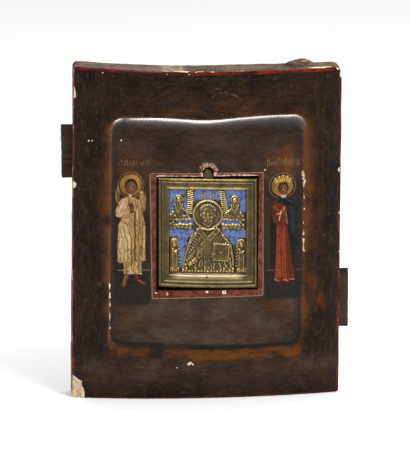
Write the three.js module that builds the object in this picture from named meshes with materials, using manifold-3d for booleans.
// A painted wooden panel icon with an inset cast brass plaque.
// Millimetres. The panel stands on its lower edge: +Z is up, the painted front faces -Y,
// +X is the viewer's right. The origin is the middle of the underside of the whole object's box.
import * as THREE from 'three';
import { mergeVertices } from 'three/addons/utils/BufferGeometryUtils.js';
import Module from 'manifold-3d';

const wasm = await Module();
wasm.setup();

// Driving dimensions of the wooden panel
const footLeft = -126.2;
const footRight = 123.8;
const leftLean = 3.6;          // the left side moves this far to +X from foot to head
const rightLean = 1.5;
const panelHeight = 312.4;     // at the middle of the top edge
const topLeftRise = 4.8;       // the top edge climbs to the left corner
const frontCrest = -18;        // the cupped board: its front stands furthest forward here
const frontBow = 12;           // how far the front's sides lie behind its crest
const backEdge = 18;
const backHollow = 6;
const headCornerLeft = 4;      // worn corner radii
const headCornerRight = 9;
const footCorner = 3;

// Driving dimensions of the sunk picture field and its sloping border
const fieldDepth = 3;
const ridge = { left: -90, right: 91.4, bottom: 37, top: 270.2, corner: 13 };
const floor = { left: -85.8, right: 86, bottom: 49, top: 262.6, corner: 8 };
const fieldLean = 0.0135;      // the carved field leans to the left towards its foot
const topDip = 2.7;            // a dip in the middle of its upper edge
const topDipWidth = 28;
const footSag = 0.0004;        // its lower edge rises towards the left

// Driving dimensions of the pocket that holds the plaque, and of the arch for the plaque's lug
const pocket = { left: -46.6, right: 47.5, bottom: 102.8, top: 212.4, floor: -6.5, turn: 0.45 };
const niche = { left: -4.4, right: 6.2, springing: 215.8 };
const brokenRim = { x: 0.9, z: 217.2, mouth: 9.7, root: 5.6, depth: 1.5 };

// Driving dimensions of the two dovetail battens and their grooves
const seatGap = 0.3;           // every seated piece keeps this gap
const battenFront = 7;
const battenBack = 17.6;
const dovetail = 2.8;          // each long edge leans out by this much from back to front
const battenReach = 133.75;    // both battens stand out of the side they were driven in from
const upperBatten = { start: -battenReach, end: 92, middle: 233.6, wide: 51.6, narrow: 41 };
const lowerBatten = { start: battenReach, end: -94, middle: 88.2, wide: 57, narrow: 45 };

// Driving dimensions of the plaque, measured from its own middle, heights from its back
const plaqueWidth = 91.2;
const plaqueHeight = 103.4;
const plaqueMiddle = { x: 0.35, z: 157.3 };
const plaqueSlope = -0.034;    // the casting is out of square: its level lines fall to the right
const sideBorder = 10.6;
const footBorder = 13.4;
const footBow = 1.4;           // the lower edge bows down
const fieldLevel = 3;          // height of the enamelled ground
const lug = { x: 0.2, width: 8.2, height: 8.4, back: 1, front: 4.2 };

// The board's plan: a cupped section of even thickness
const headRight = footRight + rightLean;
const boardMiddle = (footLeft + headRight) / 2;
const boardHalf = (headRight - footLeft) / 2;

function arcDrop(offset, half, bow) {
  const radius = (half * half + bow * bow) / (2 * bow);
  return radius - Math.sqrt(radius * radius - offset * offset);
}

function frontAt(x, depth = 0) {
  return frontCrest + depth + arcDrop(x - boardMiddle, boardHalf, frontBow);
}

function backAt(x) {
  return backEdge - backHollow + arcDrop(x - boardMiddle, boardHalf, backHollow);
}

// Conversions between a closed three.js geometry and a solid that can be joined and cut
function solid(geometry) {
  const bare = geometry.clone();
  bare.deleteAttribute('normal');
  bare.deleteAttribute('uv');
  const merged = mergeVertices(bare, 1e-4);
  const corners = [];
  const index = merged.index.array;
  for (let i = 0; i < index.length; i += 3) {
    const [a, b, c] = [index[i], index[i + 1], index[i + 2]];
    if (a !== b && b !== c && c !== a) corners.push(a, b, c);
  }
  return new wasm.Manifold(new wasm.Mesh({
    numProp: 3,
    vertProperties: new Float32Array(merged.attributes.position.array),
    triVerts: new Uint32Array(corners),
  }));
}

function geometryOf(manifold) {
  const mesh = manifold.getMesh();
  const geometry = new THREE.BufferGeometry();
  geometry.setAttribute('position', new THREE.BufferAttribute(mesh.vertProperties, 3));
  geometry.setIndex(new THREE.BufferAttribute(mesh.triVerts, 1));
  const flat = geometry.toNonIndexed();
  flat.computeVertexNormals();
  return flat;
}

function joined(solids) {
  return solids.reduce((whole, next) => whole.add(next));
}

// A prism of a shape drawn in the front view, from the plane nearY back to farY
function frontPrism(shape, nearY, farY, curveSegments = 8) {
  const prism = new THREE.ExtrudeGeometry(shape, { depth: farY - nearY, bevelEnabled: false, curveSegments });
  prism.rotateX(Math.PI / 2);
  prism.translate(0, farY, 0);
  return prism;
}

function range(count) {
  return Array.from({ length: count }, (_, i) => i);
}

// The board itself
function boardOutline() {
  const headLeft = footLeft + leftLean;
  const leftTop = panelHeight + topLeftRise;
  const outline = new THREE.Shape();
  outline.moveTo(footLeft + footCorner, 0);
  outline.lineTo(footRight - footCorner, 0);
  outline.quadraticCurveTo(footRight, 0, footRight, footCorner);
  outline.lineTo(headRight, panelHeight - headCornerRight);
  outline.quadraticCurveTo(headRight, panelHeight, headRight - headCornerRight, panelHeight);
  outline.lineTo(0, panelHeight);
  outline.quadraticCurveTo(-45, panelHeight, headLeft + headCornerLeft, leftTop);
  outline.quadraticCurveTo(headLeft, leftTop, headLeft, leftTop - headCornerLeft);
  outline.lineTo(footLeft, footCorner);
  outline.quadraticCurveTo(footLeft, 0, footLeft + footCorner, 0);
  return outline;
}

// A cupped slab, wider and taller than the board, whose front lies a given depth behind the board's front
function cuppedSlab(depth, facets = 24) {
  const reach = boardHalf + 8;
  const stations = range(facets + 1).map((i) => boardMiddle + reach * (2 * i / facets - 1));
  const plan = new THREE.Shape();
  plan.moveTo(stations[0], frontAt(stations[0], depth));
  stations.slice(1).forEach((x) => plan.lineTo(x, frontAt(x, depth)));
  stations.slice().reverse().filter((_, i) => i % 2 === 0).forEach((x) => plan.lineTo(x, backAt(x)));
  const slab = new THREE.ExtrudeGeometry(plan, { depth: panelHeight + 30, bevelEnabled: false });
  slab.translate(0, 0, -10);
  return solid(slab);
}

// The number of points on each loop of the carved border
const fieldPoints = 100;

// One loop of the carved border, from its ridge (share 0) to its floor (share 1), hand-carved waves included
function fieldLoop(share) {
  const mix = (key) => ridge[key] + (floor[key] - ridge[key]) * share;
  const [left, right, bottom, top, corner] = ['left', 'right', 'bottom', 'top', 'corner'].map(mix);
  const outline = new THREE.Path();
  outline.moveTo(left + corner, bottom);
  outline.lineTo(right - corner, bottom);
  outline.absarc(right - corner, bottom + corner, corner, -Math.PI / 2, 0);
  outline.lineTo(right, top - corner);
  outline.absarc(right - corner, top - corner, corner, 0, Math.PI / 2);
  outline.lineTo(left + corner, top);
  outline.absarc(left + corner, top - corner, corner, Math.PI / 2, Math.PI);
  outline.lineTo(left, bottom + corner);
  outline.absarc(left + corner, bottom + corner, corner, Math.PI, Math.PI * 1.5);
  return outline.getSpacedPoints(fieldPoints).slice(0, fieldPoints).map(({ x, y }) => {
    const upper = THREE.MathUtils.smoothstep(y, 200, 255);
    const lower = 1 - THREE.MathUtils.smoothstep(y, 60, 120);
    const dip = topDip * Math.exp(-(((x - 1) / topDipWidth) ** 2)) * upper;
    const sag = footSag * (x - 30) ** 2 * lower;
    return new THREE.Vector2(x + fieldLean * (y - 250), y - dip + sag);
  });
}

// The tool that carves the border: stacked loops, closed by a fan in front and one behind
function fieldCutter() {
  const levels = [[-0.3, -1], [0.25, 0.5], [0.75, 2.4], [1, fieldDepth + 0.3], [1, fieldDepth + 6]];
  const loops = levels.map(([share, depth]) => fieldLoop(share).map((p) => [p.x, frontAt(p.x, depth), p.y]));
  const count = loops[0].length;
  const middle = [(ridge.left + ridge.right) / 2, 0, (ridge.bottom + ridge.top) / 2];
  const corners = [...loops.flat(), [middle[0], -40, middle[2]], [middle[0], 0, middle[2]]];
  const near = loops.length * count;
  const faces = [];
  range(count).forEach((i) => {
    const next = (i + 1) % count;
    for (let level = 0; level + 1 < loops.length; level += 1) {
      const a = level * count + i;
      const b = level * count + next;
      faces.push(a, a + count, b, b, a + count, b + count);
    }
    faces.push(near, i, next, near + 1, near - count + next, near - count + i);
  });
  const cutter = new THREE.BufferGeometry();
  cutter.setAttribute('position', new THREE.Float32BufferAttribute(corners.flat(), 3));
  cutter.setIndex(faces);
  return solid(cutter);
}

function pocketCutter() {
  const width = pocket.right - pocket.left;
  const height = pocket.top - pocket.bottom;
  const box = new THREE.BoxGeometry(width, 40, height);
  box.rotateY(THREE.MathUtils.degToRad(pocket.turn));
  box.translate((pocket.left + pocket.right) / 2, pocket.floor - 20, (pocket.bottom + pocket.top) / 2);
  return solid(box);
}

function nicheCutter() {
  const radius = (niche.right - niche.left) / 2;
  const arch = new THREE.Shape();
  arch.moveTo(niche.left, pocket.top - 6);
  arch.lineTo(niche.right, pocket.top - 6);
  arch.lineTo(niche.right, niche.springing);
  arch.absarc((niche.left + niche.right) / 2, niche.springing, radius, 0, Math.PI);
  return solid(frontPrism(arch, -40, pocket.floor, 10));
}

// The broken edge of the ground around the arch: a shallow dish, only above the pocket
function brokenRimCutter() {
  const surface = frontAt(brokenRim.x, fieldDepth);
  const slope = (brokenRim.mouth - brokenRim.root) / brokenRim.depth;
  const mouth = brokenRim.mouth + slope;
  const dish = new THREE.CylinderGeometry(brokenRim.root, mouth, brokenRim.depth + 1, 20);
  dish.translate(brokenRim.x, surface + (brokenRim.depth - 1) / 2, brokenRim.z);
  const above = new THREE.BoxGeometry(60, 60, 30);
  above.translate(brokenRim.x, surface, pocket.top + 16.5);
  return solid(dish).intersect(solid(above));
}

// A long key with a dovetail section, tapered from its wide start to its narrow end.
// The groove is the same shape grown by the gap, run out past the side it opens on.
function dovetailKey({ start, end, middle, wide, narrow }, gap = 0) {
  const key = new THREE.BoxGeometry(1, 1, 1);
  const corner = key.attributes.position;
  const outward = Math.sign(start);
  const taper = (wide - narrow) / Math.abs(start - end);
  const from = start + (gap ? outward * 10 : 0);
  const to = end - outward * gap;
  range(corner.count).forEach((i) => {
    const atStart = corner.getX(i) * outward > 0;
    const x = atStart ? from : to;
    const isFront = corner.getY(i) < 0;
    const back = gap ? backEdge + 6 : battenBack;
    const y = isFront ? battenFront - gap : back;
    const lean = dovetail * (y - battenFront) / (battenBack - battenFront);
    const half = (wide - taper * Math.abs(start - x) * Math.sign(outward * (start - x))) / 2 - lean + gap;
    corner.setXYZ(i, x, y, middle + Math.sign(corner.getZ(i)) * half);
  });
  return solid(key);
}

// The lost corner at the lower left: ground and a little wood, deeper towards the corner
function cornerLoss() {
  const reachX = 14;
  const reachZ = 23;
  const loss = new THREE.Shape();
  loss.moveTo(footLeft - 6, reachZ + 1);
  loss.lineTo(footLeft + reachX * 0.4, reachZ - 4.5);
  loss.lineTo(footLeft + reachX * 0.75, reachZ - 6.5);
  loss.lineTo(footLeft + reachX * 0.78, reachZ - 9.5);
  loss.lineTo(footLeft + reachX, 6);
  loss.lineTo(footLeft + reachX, -6);
  loss.lineTo(footLeft - 6, -6);
  const wedge = frontPrism(loss, -30, 0);
  wedge.translate(-footLeft, 0, 0);
  wedge.rotateZ(THREE.MathUtils.degToRad(-14));
  wedge.rotateX(THREE.MathUtils.degToRad(-6));
  wedge.translate(footLeft, frontAt(footLeft + reachX, 2.2) + 3.4, 0);
  return solid(wedge);
}

// The ground lost along the upper part of the left edge
function edgeLoss() {
  const strip = new THREE.BoxGeometry(10, 10, 14.6, 1, 1, 1);
  strip.rotateZ(THREE.MathUtils.degToRad(-35));
  const x = footLeft + leftLean * 0.94;
  strip.translate(x - 2.2, frontAt(x) - 4.4, 293.8);
  return solid(strip);
}

// The knot that stands up from the top side, near the back
function knot() {
  const lump = new THREE.SphereGeometry(1, 16, 8);
  lump.scale(13.5, 8.5, 6);
  lump.rotateY(THREE.MathUtils.degToRad(4));
  lump.translate(87.8, backAt(88) - 9.2, panelHeight - 1.2);
  return solid(lump);
}

function makePanel() {
  const outline = solid(frontPrism(boardOutline(), -30, 30, 6));
  const full = outline.intersect(cuppedSlab(0)).subtract(fieldCutter());
  const sunk = outline.intersect(cuppedSlab(fieldDepth));
  const cuts = [
    pocketCutter(),
    nicheCutter(),
    brokenRimCutter(),
    dovetailKey(upperBatten, seatGap),
    dovetailKey(lowerBatten, seatGap),
    cornerLoss(),
    edgeLoss(),
  ];
  return full.add(sunk).add(knot()).subtract(joined(cuts));
}

// The plaque is modelled face up: x to the right, y to the top, z the height above its back.
// Every piece of relief runs straight down into the plate, so nothing below it is hollow.
const rootLevel = 2;

const polar = (radius, degrees) => {
  const angle = THREE.MathUtils.degToRad(degrees);
  return [radius * Math.cos(angle), radius * Math.sin(angle)];
};

// A rounded lump on an oval column
function dome(x, y, z, rx, ry, rz, turn = 0, sides = 8) {
  const lump = new THREE.SphereGeometry(1, sides, 2 * Math.round(sides / 4));
  lump.rotateX(Math.PI / 2);
  const p = lump.attributes.position;
  range(p.count).forEach((i) => {
    const [px, py, pz] = [p.getX(i), p.getY(i), p.getZ(i)];
    const spread = Math.hypot(px, py);
    if (pz < -1e-6) p.setXYZ(i, spread > 1e-6 ? px / spread : 0, spread > 1e-6 ? py / spread : 0, (rootLevel - z) / rz);
  });
  lump.scale(rx, ry, rz);
  lump.rotateZ(THREE.MathUtils.degToRad(turn));
  lump.translate(x, y, z);
  return solid(lump);
}

// A rounded fold or finger between two points, with upright sides
function fold(x0, y0, x1, y1, radius, z, sides = 6) {
  const bar = new THREE.CapsuleGeometry(radius, Math.hypot(x1 - x0, y1 - y0), 1, sides);
  const p = bar.attributes.position;
  range(p.count).forEach((i) => {
    const [px, pz] = [p.getX(i), p.getZ(i)];
    if (pz < -1e-6) p.setXYZ(i, Math.sign(Math.round(px * 1e6)) * Math.hypot(px, pz), p.getY(i), rootLevel - z);
  });
  bar.rotateZ(Math.atan2(y1 - y0, x1 - x0) - Math.PI / 2);
  bar.translate((x0 + x1) / 2, (y0 + y1) / 2, z);
  return solid(bar);
}

// A flat strap between two points, with square ends
function strap(x0, y0, x1, y1, width, high) {
  const bar = new THREE.BoxGeometry(Math.hypot(x1 - x0, y1 - y0), width, high - rootLevel);
  bar.rotateZ(Math.atan2(y1 - y0, x1 - x0));
  bar.translate((x0 + x1) / 2, (y0 + y1) / 2, (rootLevel + high) / 2);
  return solid(bar);
}

// A slab of a drawn outline with a rounded upper edge
function slab(shape, high, round = 0.5, low = rootLevel, curveSegments = 6) {
  const body = new THREE.ExtrudeGeometry(shape, {
    depth: high - low - 2 * round,
    bevelThickness: round,
    bevelSize: round,
    bevelOffset: -round,
    bevelSegments: 1,
    curveSegments,
  });
  body.translate(0, 0, low + round);
  return solid(body);
}

// A round halo: a flat disc with a raised rim
function nimbus(x, y, radius, rim, disc, top, segments) {
  const profile = [
    [0, rootLevel],
    [radius, rootLevel],
    [radius, disc],
    [radius - rim * 0.25, top],
    [radius - rim * 0.8, top],
    [radius - rim, disc],
    [0, disc],
  ];
  const round = new THREE.LatheGeometry(profile.map(([r, h]) => new THREE.Vector2(r, h)), segments);
  round.rotateX(Math.PI / 2);
  round.translate(x, y, 0);
  return solid(round);
}

// The moulded border: loops of equal inset, each with its height, the lower side wider and bowed
function border() {
  const levels = [
    [0, 0],
    [0, 4.4],
    [0.7, 5.7],
    [1.5, 6],
    [2.5, 5.7],
    [3.3, 4.9],
    [4.2, 5.4],
    [5.4, 4.6],
    [8.2, 4.3],
    [9, 5],
    [9.8, 5],
    [sideBorder, fieldLevel],
  ];
  const steps = 6;
  const loops = levels.map(([inset, height]) => {
    const lift = inset * footBorder / sideBorder;
    const x = plaqueWidth / 2 - inset;
    const top = plaqueHeight / 2 - inset;
    const foot = -plaqueHeight / 2 + lift;
    const lower = range(steps).map((i) => {
      const t = 2 * i / steps - 1;
      return [x * t, foot - footBow * (1 - t * t) * (1 - inset / sideBorder), height];
    });
    return [...lower, [x, foot, height], [x, top, height], [-x, top, height]];
  });
  const count = loops[0].length;
  const faces = [];
  range(count).forEach((i) => {
    const next = (i + 1) % count;
    for (let level = 0; level + 1 < loops.length; level += 1) {
      const a = level * count + i;
      const b = level * count + next;
      faces.push(a, b, a + count, b, b + count, a + count);
    }
  });
  const last = (loops.length - 1) * count;
  for (let i = 1; i + 1 < count; i += 1) {
    faces.push(0, i + 1, i);
    faces.push(last, last + i, last + i + 1);
  }
  const frame = new THREE.BufferGeometry();
  frame.setAttribute('position', new THREE.Float32BufferAttribute(loops.flat(2), 3));
  frame.setIndex(faces);
  return solid(frame);
}

// The half-length bishop: halo, head with short beard, robe, stole, blessing hand and book
const halo = { x: 0.1, y: 17.1, radius: 14.3, rim: 2.4 };

function bishopHead() {
  const { x, y } = halo;
  const pieces = [
    dome(x, y + 3.1, 4, 7.7, 7, 1.3, 0, 12),
    dome(x, y - 0.3, 4, 6.3, 8.2, 1.8, 0, 14),
    dome(x, y - 7.2, 4.1, 5.2, 5.2, 1.4, 0, 12),
    fold(x, y + 0.9, x, y - 2.7, 0.62, 5.3),
    dome(x, y - 2.9, 5.3, 1.1, 0.7, 0.6, 0, 6),
    dome(x, y - 5.9, 5, 1.6, 0.45, 0.5, 0, 6),
  ];
  [-1, 1].forEach((side) => {
    pieces.push(fold(x + side * 1.1, y + 1.9, x + side * 3.9, y + 1.5, 0.42, 5.25));
    pieces.push(dome(x + side * 2.5, y + 0.2, 5.1, 1.2, 0.6, 0.55, 0, 6));
    pieces.push(fold(x + side * 0.9, y - 4.6, x + side * 2.9, y - 5.5, 0.5, 5.05));
    pieces.push(dome(x + side * 6.5, y - 0.4, 4, 0.8, 1.7, 1, 0, 6));
  });
  return pieces;
}

function bishopRobe() {
  const hem = -35.8;
  const robe = new THREE.Shape();
  robe.moveTo(-24.7, hem);
  robe.lineTo(24.9, hem);
  robe.quadraticCurveTo(24.3, -17, 20.8, -8.5);
  robe.quadraticCurveTo(16.5, 0.5, 7, 5.2);
  robe.lineTo(-6.5, 5.2);
  robe.quadraticCurveTo(-15.5, 0.8, -18.6, -11);
  robe.quadraticCurveTo(-21.8, -23, -24.7, hem);
  const pieces = [slab(robe, 4.3), dome(0, -15, 3.5, 17.5, 17, 1.5, 0, 12)];
  const drapes = [[-9.5, 0.5, -17, -14], [-14.8, -3, -20.4, -20], [-8, -8, -19.4, -27], [13.5, -2.5, 20.6, -14]];
  drapes.forEach(([x0, y0, x1, y1]) => pieces.push(fold(x0, y0, x1, y1, 0.75, 4.3)));
  range(13).forEach((i) => {
    const x = -22.6 + i * 3.75;
    const rise = 3.2 + 2.2 * Math.sin(i * 2.1);
    pieces.push(fold(x, hem + 0.9, x + 0.9, hem + rise, 0.95, 4.1));
  });
  return pieces;
}

function cross(x, y, arm, turn, high) {
  const [dx, dy] = polar(arm, turn);
  return [strap(x - dx, y - dy, x + dx, y + dy, 0.8, high), strap(x + dy, y - dx, x - dy, y + dx, 0.8, high)];
}

function bishopStole() {
  return [
    strap(-9.3, 4.6, 1.6, -10.4, 5, 5.15),
    strap(10.4, 4.4, -5.4, -13.6, 5, 5.3),
    strap(-1, -10.5, -0.6, -35.2, 5.2, 5.1),
    ...cross(-5.2, -1.4, 1.7, 36, 5.45),
    ...cross(6.2, -0.8, 1.7, 49, 5.6),
    ...cross(-0.9, -27, 1.8, 0, 5.4),
    fold(-5.6, 4, 5.6, 4, 1.1, 4.6),
  ];
}

// The right hand: a palm with three raised and two bent fingers, in front of the sleeve
function blessingHand() {
  const palm = dome(-8.6, -22.6, 4.6, 2.5, 3, 1.2, -20, 8);
  const sleeve = fold(-16.5, -30.5, -11.5, -26, 2.6, 3.3, 8);
  const raised = [-1.5, 0, 1.5].map((step) => fold(-8.2 + step, -20, -7.2 + step * 1.3, -14.8, 0.6, 5.1));
  const bent = [fold(-10.4, -21.4, -9, -18.8, 0.6, 5.1), fold(-6.2, -22.8, -5, -20, 0.6, 5.1)];
  return [palm, sleeve, ...raised, ...bent];
}

// The closed book: a board with a raised frame, a boss and rows of short strokes
function gospelBook() {
  const lean = -4;
  const half = 7.4;
  const tall = 8.4;
  const place = (x, y) => {
    const [c, s] = polar(1, lean);
    return [12.4 + x * c - y * s, -18.6 + x * s + y * c];
  };
  const bar = (x0, y0, x1, y1, width, high) => strap(...place(x0, y0), ...place(x1, y1), width, high);
  const pieces = [bar(-half, 0, half, 0, tall * 2, 5.1), dome(...place(0, 0), 5, 1.7, 1.7, 0.7, 0, 8)];
  [-1, 1].forEach((side) => {
    pieces.push(bar(-half, side * (tall - 0.5), half, side * (tall - 0.5), 1, 5.6));
    pieces.push(bar(side * (half - 0.5), -tall, side * (half - 0.5), tall, 1, 5.6));
    [2.7, 4.8].forEach((row) => pieces.push(bar(-4.6, side * row, 4.6, side * row, 0.7, 5.4)));
  });
  pieces.push(fold(...place(-half - 1, -5), ...place(-half + 2.4, -3.4), 0.9, 4.9));
  return pieces;
}

// Each upper corner: a small half-length figure on banks of cloud, and a striped wing beside it
function cloudFigure(side) {
  const x = side < 0 ? -26.8 : 25.2;
  const y = 31.4;
  const pieces = [
    nimbus(x, y, 4.1, 1, 3.8, 4.2, 12),
    dome(x, y - 0.3, 4, 2.2, 2.9, 1.1, 0, 8),
    dome(x - side * 0.5, y - 9.6, 3.2, 5.2, 6.6, 1.5),
    fold(x - 3.4, y - 6.6, x + side * 0.4, y - 12, 0.7, 4.5),
    fold(x + 3.4, y - 6.6, x - side * 0.2, y - 10.4, 0.7, 4.5),
    fold(x - side * 4, y - 9, x - side * 7.6, y - 12.2, 0.9, 4.1),
  ];
  const cloud = (cx, cy, rx, ry) => pieces.push(dome(cx, cy, 3.2, rx, ry, 1.2, 0, 6));
  range(5).forEach((i) => cloud(x - side * 0.8 + (i - 2) * 3.8, y - 16.6 + Math.abs(i - 2) * 0.5, 2.2, 1.7));
  range(6).forEach((i) => cloud(x - side * 1.6 + (i - 2.5) * 3.5, y - 26.6 + Math.cos(i - 2.5) * 0.8, 2.1, 2));
  range(3).forEach((i) => cloud(x + side * 5.4, y - 13 - i * 4.4, 1.6, 2));
  range(9).forEach((i) => {
    const wingX = side * (13.4 + 0.42 * i);
    const wingY = 38 - i * 2.45;
    pieces.push(fold(wingX - 2.3, wingY + side * 0.9, wingX + 2.3, wingY - side * 0.9, 0.7, 3.9));
  });
  return pieces;
}

function rays() {
  return range(5).map((i) => {
    const angle = 74 + i * 8;
    const [x0, y0] = polar(halo.radius + 1, angle);
    const [x1, y1] = polar(halo.radius + 7.4 + (i % 2) * 1.2, angle);
    return fold(halo.x + x0, halo.y + y0, halo.x + x1, halo.y + y1, 0.5, 3.4);
  });
}

// Each lower corner: a small standing figure under an arch
function archFigure(side) {
  const x = side < 0 ? -30.9 : 31.2;
  const foot = -35.6;
  const arch = new THREE.Shape();
  arch.moveTo(x - 3.9, foot);
  arch.lineTo(x + 3.9, foot);
  arch.lineTo(x + 3.9, -10);
  arch.absarc(x, -10, 3.9, 0, Math.PI);
  const pieces = [
    slab(arch, 3.7, 0.3, rootLevel, 4),
    nimbus(x, -11.2, 3.1, 0.8, 4, 4.4, 10),
    dome(x, -11.4, 4.1, 1.7, 2.2, 0.9, 0, 8),
    dome(x, -24.6, 3.6, 3.2, 10.6, 1.3),
  ];
  [-1.6, 0.2, 1.9].forEach((step, i) => {
    pieces.push(fold(x + step, -17 - i, x + step * 1.3, foot + 1.6, 0.5, 4.5));
  });
  return pieces;
}

// The plaque's hanging lug: a flat tongue with a rounded head
function lugTongue() {
  const base = plaqueHeight / 2 - 1;
  const head = plaqueHeight / 2 + lug.height;
  const round = lug.width * 0.4;
  const [left, right] = [lug.x - lug.width / 2, lug.x + lug.width / 2];
  const tongue = new THREE.Shape();
  tongue.moveTo(left, base);
  tongue.lineTo(right, base);
  tongue.lineTo(right, head - round);
  tongue.quadraticCurveTo(right, head, lug.x, head);
  tongue.quadraticCurveTo(left, head, left, head - round);
  return slab(tongue, lug.front, 0.6, lug.back);
}

function pinHole(x, y, radius) {
  const drill = new THREE.CylinderGeometry(radius, radius, 12, 10);
  drill.rotateX(Math.PI / 2);
  drill.translate(x, y, 3);
  return solid(drill);
}

function makePlaque() {
  const relief = joined([
    border(),
    lugTongue(),
    nimbus(halo.x, halo.y, halo.radius, halo.rim, 3.9, 4.6, 36),
    ...bishopHead(),
    ...bishopRobe(),
    ...bishopStole(),
    ...blessingHand(),
    ...gospelBook(),
    ...rays(),
    ...cloudFigure(-1),
    ...cloudFigure(1),
    ...archFigure(-1),
    ...archFigure(1),
  ]);
  const footEdge = -plaqueHeight / 2;
  return relief.subtract(pinHole(-0.9, footEdge + 9.6, 1.1)).subtract(pinHole(0.2, footEdge - 0.6, 1.3));
}

// Places the plaque upright in its pocket, its back just clear of the pocket's floor
function plaqueInPlace() {
  const geometry = geometryOf(makePlaque());
  const outOfSquare = new THREE.Matrix4().makeShear(plaqueSlope, 0, 0, 0, 0, 0);
  geometry.applyMatrix4(outOfSquare);
  geometry.rotateX(Math.PI / 2);
  geometry.translate(plaqueMiddle.x, pocket.floor - seatGap, plaqueMiddle.z);
  return geometry;
}

const paintedPanel = new THREE.MeshStandardMaterial({ color: 0x2c231e, roughness: 0.42, metalness: 0 });
const oldWood = new THREE.MeshStandardMaterial({ color: 0x4a3526, roughness: 0.75, metalness: 0 });
const castBrass = new THREE.MeshStandardMaterial({ color: 0x8c7a4c, roughness: 0.4, metalness: 1 });

function named(name, geometry, material) {
  const mesh = new THREE.Mesh(geometry, material);
  mesh.name = name;
  return mesh;
}

const icon = new THREE.Group();
icon.add(
  named('panel', geometryOf(makePanel()), paintedPanel),
  named('upper_batten', geometryOf(dovetailKey(upperBatten)), oldWood),
  named('lower_batten', geometryOf(dovetailKey(lowerBatten)), oldWood),
  named('plaque', plaqueInPlace(), castBrass),
);

export default icon;
